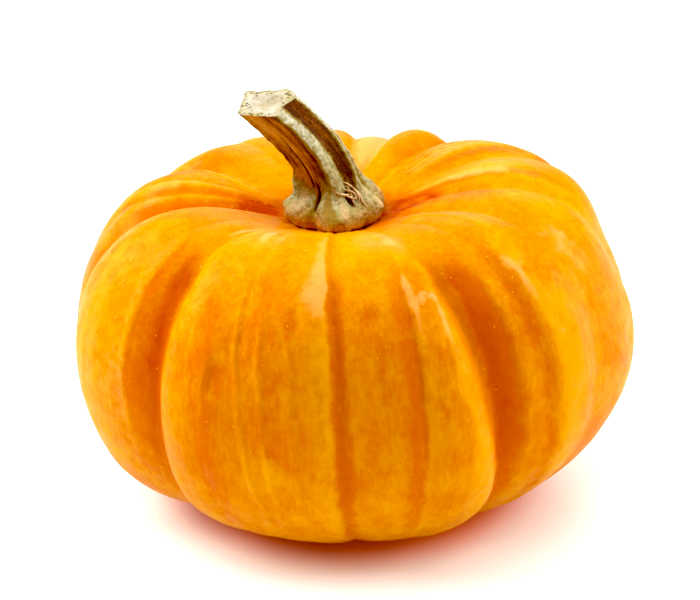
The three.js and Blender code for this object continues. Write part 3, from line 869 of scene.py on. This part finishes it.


# stem: streaked faces with painted light and shade, pale ridges by cork, knobs by collar, then tones, slots
# with painted shade, edge and cut
def makeStemMaterial(look=stemLook):
    material, tree, place = newMaterial("dryStem")
    streaks = noiseValue(tree, attribute(tree, "fibre", "Vector"), *look["streaks"])
    stains, where, blots, grain = noises(tree, place, look, "stains poreSpread blots grain")
    cork = ruffled(tree, attribute(tree, "cork"), grain, 0.1, 0.2, 0.8)
    cork = ruffled(tree, cork, stains, 0.12, 0.3, 0.7)
    # pale ridges, speckled
    height = addNode(tree, "ShaderNodeSeparateXYZ", {0: place}).outputs[2]
    upper = rise(tree, height, *look["upper"])
    specks = rise(tree, blots, 0.3, 0.7, 0, 0.5)
    specks = combine(tree, "ADD", specks, rise(tree, grain, 0.38, 0.62, -0.1, 0.6))
    cream = mixColour(tree, upper, look["cream"], look["creamTop"])
    ridge = mixColour(tree, specks, look["creamDark"], cream)
    # knobs of the collar, mottled, with brown valleys between them
    layers = [
        (specks, look["collar"]),
        (rise(tree, stains, 0.46, 0.62, 0, 0.75), look["moss"]),
        (rise(tree, cork, 0.75, 1.3, 0, 0.3), ridge),
        (rise(tree, ruffled(tree, cork, blots, 0.25, 0.2, 0.8), 0.85, 0.35), look["valley"]),
    ]
    knots = layered(tree, look["collarDark"], layers)
    # the cut, stained and mossy at its rim, with pores that are closest near the rim
    cells = addNode(tree, "ShaderNodeTexVoronoi", {"Vector": place, "Scale": look["pores"]})
    pores = rise(tree, cells.outputs["Distance"], 0.25, 0.45, 1, 0)
    cutEdge = attribute(tree, "cutEdge")
    where = ruffled(tree, where, cutEdge, 0.12, 0.5, 0.95)
    rim = ruffled(tree, cutEdge, blots, 0.25, 0.3, 0.7)
    layers = [
        (rise(tree, stains, 0.35, 0.65, 0, 0.8), look["cutDark"]),
        (rise(tree, rim, 0.65, 1.15, 0, 0.7), look["moss"]),
        (combine(tree, "MULTIPLY", pores, rise(tree, where, 0.46, 0.56)), look["pore"]),
    ]
    sawn = layered(tree, look["cut"], layers)
    # brown faces streaked along the stem, painted paler towards litFace and darker on the far side as light
    # and shade, olive beside the pale ridges
    litAndStreaked = combine(tree, "MULTIPLY_ADD", attribute(tree, "paintedLitFace"), 0.39, streaks)
    litAndStreaked = combine(tree, "MULTIPLY_ADD", upper, 0.08, combine(tree, "SUBTRACT", litAndStreaked, 0.06))
    litAndStreaked = ruffled(tree, litAndStreaked, grain, 0.08, 0.2, 0.8)
    mottled = combine(tree, "MULTIPLY", attribute(tree, "footTone"), rise(tree, blots, 0.25, 0.7, 0.4, 1.2))
    mottled = ruffled(tree, mottled, grain, 0.15)
    soil = mixColour(tree, stains, look["valley"], look["olive"])
    edge = combine(tree, "MULTIPLY", attribute(tree, "footEdge"), rise(tree, blots, 0.3, 0.65, 0.35, 1))
    layers = [
        (rise(tree, litAndStreaked, 0.46, 0.8), look["brown"]),
        (rise(tree, litAndStreaked, 0.7, 1), look["tan"]),
        (rise(tree, cork, 0.16, 0.46, 0, 0.85), look["olive"]),
        (rise(tree, cork, 0.44, 0.68), ridge),
        (rise(tree, attribute(tree, "collar"), 0.35, 0.9), knots),
        (rise(tree, mottled, -0.2, -0.8, 0, 0.9), soil),
        (rise(tree, mottled, 0.15, 0.8, 0, 0.8), look["collarPale"]),
        # painted shade in the slots and the seam
        (rise(tree, attribute(tree, "slot"), 0.15, 0.5, 0, 0.9), look["slotShade"]),
        (edge, look["footEdge"]),
        (attribute(tree, "cutFace"), sawn),
    ]
    base = layered(tree, look["dark"], layers)
    rough = bumped(tree, combine(tree, "MULTIPLY_ADD", blots, 1.5, grain), *look["bump"])
    addShader(tree, {"Base Color": base, "Normal": rough, **look["finish"]})
    return material


fibreLook = {
    "dark": (0.42, 0.24, 0.09),
    "pale": (0.66, 0.52, 0.32),
    "blots": (900, 3),
    "finish": {"Roughness": 0.7},
}


# fibres: dark to pale as the noise rises
def makeFibreMaterial(look=fibreLook):
    material, tree, place = newMaterial("driedFibre")
    share = rise(tree, noiseValue(tree, place, *look["blots"]), 0.35, 0.65)
    base = mixColour(tree, share, look["dark"], look["pale"])
    addShader(tree, {"Base Color": base, **look["finish"]})
    return material


table = {
    "grey": (0.95, 0.9, 0.87),
    "white": (0.98, 0.94, 0.92),
    "paintedShadow": (0.78, 0.19, 0.05),  # painted shadow, orange with the fruit's bounced light
    "paintedShadowStrength": 0.95,
    "paintedShadowReach": (0.036, 0.025),  # metres from the middle between which the painted shadow comes on
    "paintedShadowOval": (1, 1.05, 0),
    "mottle": (30, 2),
    # a faint glow in the table's own colours keeps it evenly bright; inside the oval it glows with the
    # painted shadow's orange
    "finish": {"Emission Strength": 0.14, "Roughness": 0.4, "Specular IOR Level": 0.2},
    "size": 6,
    "level": -0.00001,  # just under the fruit, so that the two don't flicker
}


# a white table with an orange painted shadow inside an oval, close to the fruit
def makeTable():
    material, tree, place = newMaterial("whiteTable")
    mottle = noiseValue(tree, place, *table["mottle"])
    tint = mixColour(tree, mottle, table["grey"], table["white"])
    oval = stretched(tree, place, table["paintedShadowOval"])
    near = addNode(tree, "ShaderNodeVectorMath", {0: oval}, operation="LENGTH").outputs["Value"]
    # painted shadow, strongest close to the fruit
    paintedShadowStrength = rise(tree, near, *table["paintedShadowReach"], 0, table["paintedShadowStrength"])
    tint = mixColour(tree, paintedShadowStrength, tint, table["paintedShadow"])
    addShader(tree, {"Base Color": tint, "Emission Color": tint, **table["finish"]})
    bpy.ops.mesh.primitive_plane_add(size=table["size"], location=(0, 0, table["level"]))
    piece = bpy.context.object
    piece.name = "table"
    piece.data.materials.append(material)


light = {
    "world": 0.055,  # strength of its light on the scene, which doesn't show
    "worldTint": (1, 0.6, 0.4),
    "target": (0, 0, 0.03),
    # name: place and size in metres, power in watts, and colour
    "lamps": {
        "overhead": ((0.02, 0.14, 0.9), 1.2, 14, (1, 1, 1)),
        "right": ((0.85, 0.1, 0.36), 0.6, 8.2, (1, 1, 1)),
        "left": ((-0.74, 0.15, 0.6), 0.9, 15, (1, 1, 1)),
        "back": ((0.05, 0.9, 0.35), 0.6, 2, (1, 1, 1)),
        "front": ((0.15, -0.85, 0.6), 0.8, 2.1, (1, 0.62, 0.4)),
    },
    "black": 0.03,  # tones below this are drawn black
}


# a world that is white where it is seen and dim where it gives light
def makeWorld():
    world = bpy.data.worlds.new("studio")
    world.use_nodes = True
    tree = world.node_tree
    tree.nodes.clear()
    seen = addNode(tree, "ShaderNodeLightPath").outputs["Is Camera Ray"]
    strength = rise(tree, seen, 0, 1, light["world"], 1)
    shade = mixColour(tree, seen, light["worldTint"], (1, 1, 1))
    sky = addNode(tree, "ShaderNodeBackground", {"Color": shade, "Strength": strength})
    addNode(tree, "ShaderNodeOutputWorld", {"Surface": sky.outputs[0]})
    bpy.context.scene.world = world


# round lamps that face the target
def makeLights():
    for name, (place, size, power, tint) in light["lamps"].items():
        lamp = bpy.data.lights.new(name, "AREA")
        lamp.shape = "DISK"
        lamp.size = size
        lamp.energy = power
        lamp.color = tint
        holder = addObject(name, lamp)
        holder.location = place
        holder.rotation_euler = (Vector(light["target"]) - Vector(place)).to_track_quat("-Z", "Y").to_euler()


# the standard view, with its darkest tones drawn down to black
def setView():
    view = bpy.context.scene.view_settings
    view.view_transform = "Standard"
    view.use_curve_mapping = True
    view.curve_mapping.black_level = (light["black"],) * 3
    view.curve_mapping.update()


lens = {
    "elevation": 27.8,
    "distance": 0.5,
    "lookAt": (-0.0005, 0, 0.0279),
    "lift": 0.0053,  # upwards in the view
    "focalLength": 151.2,
    "nearest": 0.01,
}


# a camera at its elevation and distance, aimed a little above lookAt
def makeCamera():
    rising = math.radians(lens["elevation"])
    away = Vector((0, -math.cos(rising), math.sin(rising)))
    upwards = Vector((0, math.sin(rising), math.cos(rising)))
    target = Vector(lens["lookAt"])
    camera = addObject("camera", bpy.data.cameras.new("camera"))
    camera.location = Vector((0, 0, target.z)) + lens["distance"] * away
    aim = target + lens["lift"] * upwards
    camera.rotation_euler = (aim - camera.location).to_track_quat("-Z", "Y").to_euler()
    camera.data.lens = lens["focalLength"]
    camera.data.clip_start = lens["nearest"]
    bpy.context.scene.camera = camera


makeCamera()
for makeShape, makeMaterial in (makeFruit, makeSkinMaterial), (makeStem, makeStemMaterial):
    piece = makeShape()
    piece.data.materials.append(makeMaterial())
    print(piece.name, len(piece.data.polygons), "faces")
fibreMaterial = makeFibreMaterial()
for number, path in enumerate(fibres["paths"]):
    makeFibre(f"driedFibre{number + 1}", path).data.materials.append(fibreMaterial)
print("fibres", len(fibres["paths"]))
makeTable()
makeWorld()
makeLights()
setView()
print("table, light and camera")
